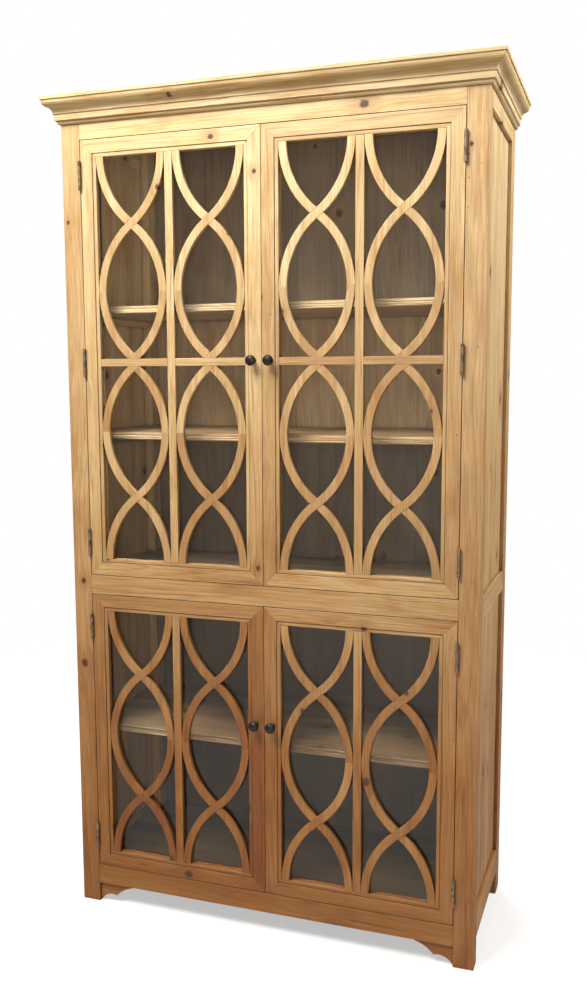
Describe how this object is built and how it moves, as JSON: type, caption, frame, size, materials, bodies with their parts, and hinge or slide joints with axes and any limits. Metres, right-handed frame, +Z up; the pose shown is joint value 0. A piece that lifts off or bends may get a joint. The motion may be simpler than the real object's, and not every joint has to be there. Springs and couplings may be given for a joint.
{
  "type": "glazed display cabinet",
  "caption": "Tall pine cabinet with inset glazed doors, curved wave fretwork over the glass, a mitred cornice, inner shelves and scalloped feet brackets.",
  "frame": {"origin": "on the floor, under the middle of the whole cabinet's bounding box", "axes": "+X to the right of someone facing the doors, +Y towards the back, +Z up"},
  "size_m": [1.2, 0.5, 2.215],
  "materials": {
    "carcass_pine": "waxed reclaimed pine with knots and worn edges",
    "cornice_pine": "waxed pine moulding, darker wax in the quirks",
    "door_pine": "waxed pine, mitred",
    "fretwork_pine": "waxed pine slats with eased edges",
    "inner_pine": "pale unpolished pine",
    "clear_glass": "clear polished pane",
    "dark_knob_metal": "dark pewter, satin",
    "aged_hinge_metal": "aged dark bronze, rubbed",
    "catch_steel": "plated steel"
  },
  "bodies": {
    "carcass": {"back_boards": "inner_pine", "back_rails": "inner_pine", "ball_catches": "catch_steel", "bracket_left": "carcass_pine", "bracket_right": "carcass_pine", "cornice_front": "cornice_pine", "cornice_left": "cornice_pine", "cornice_right": "cornice_pine", "deck_bottom": "inner_pine", "deck_cleats": "inner_pine", "deck_middle": "inner_pine", "door_stops": "inner_pine", "hinge_leaves_frame": "aged_hinge_metal", "hinge_pins": "aged_hinge_metal", "hinge_screws_frame": "aged_hinge_metal", "post_back_left": "carcass_pine", "post_back_right": "carcass_pine", "post_front_left": "carcass_pine", "post_front_right": "carcass_pine", "rail_bottom": "carcass_pine", "rail_frieze": "carcass_pine", "rail_middle": "carcass_pine", "shelf_cleats": "inner_pine", "shelf_lower": "inner_pine", "shelf_middle": "inner_pine", "shelf_upper": "inner_pine", "side_boards_left": "carcass_pine", "side_boards_right": "carcass_pine", "side_rails_left": "carcass_pine", "side_rails_right": "carcass_pine", "top_board": "cornice_pine"},
    "door_upper_left": {"door_upper_left_fretwork": "fretwork_pine", "door_upper_left_glass": "clear_glass", "door_upper_left_glazing_strips": "door_pine", "door_upper_left_hinge_leaves": "aged_hinge_metal", "door_upper_left_knob": "dark_knob_metal", "door_upper_left_rails": "door_pine", "door_upper_left_stiles": "door_pine"},
    "door_upper_right": {"door_upper_right_fretwork": "fretwork_pine", "door_upper_right_glass": "clear_glass", "door_upper_right_glazing_strips": "door_pine", "door_upper_right_hinge_leaves": "aged_hinge_metal", "door_upper_right_knob": "dark_knob_metal", "door_upper_right_rails": "door_pine", "door_upper_right_stiles": "door_pine"},
    "door_lower_left": {"door_lower_left_fretwork": "fretwork_pine", "door_lower_left_glass": "clear_glass", "door_lower_left_glazing_strips": "door_pine", "door_lower_left_hinge_leaves": "aged_hinge_metal", "door_lower_left_knob": "dark_knob_metal", "door_lower_left_rails": "door_pine", "door_lower_left_stiles": "door_pine"},
    "door_lower_right": {"door_lower_right_fretwork": "fretwork_pine", "door_lower_right_glass": "clear_glass", "door_lower_right_glazing_strips": "door_pine", "door_lower_right_hinge_leaves": "aged_hinge_metal", "door_lower_right_knob": "dark_knob_metal", "door_lower_right_rails": "door_pine", "door_lower_right_stiles": "door_pine"}
  },
  "joints": [
    {"name": "door_upper_left_hinge", "type": "hinge", "parent": "carcass", "child": "door_upper_left", "pos_m": [-0.50625, -0.215, 1.52875], "axis": [0, 0, -1], "range_deg": [0, 170]},
    {"name": "door_upper_right_hinge", "type": "hinge", "parent": "carcass", "child": "door_upper_right", "pos_m": [0.50625, -0.215, 1.52875], "axis": [0, 0, 1], "range_deg": [0, 170]},
    {"name": "door_lower_left_hinge", "type": "hinge", "parent": "carcass", "child": "door_lower_left", "pos_m": [-0.50625, -0.215, 0.504], "axis": [0, 0, -1], "range_deg": [0, 170]},
    {"name": "door_lower_right_hinge", "type": "hinge", "parent": "carcass", "child": "door_lower_right", "pos_m": [0.50625, -0.215, 0.504], "axis": [0, 0, 1], "range_deg": [0, 170]}
  ]
}
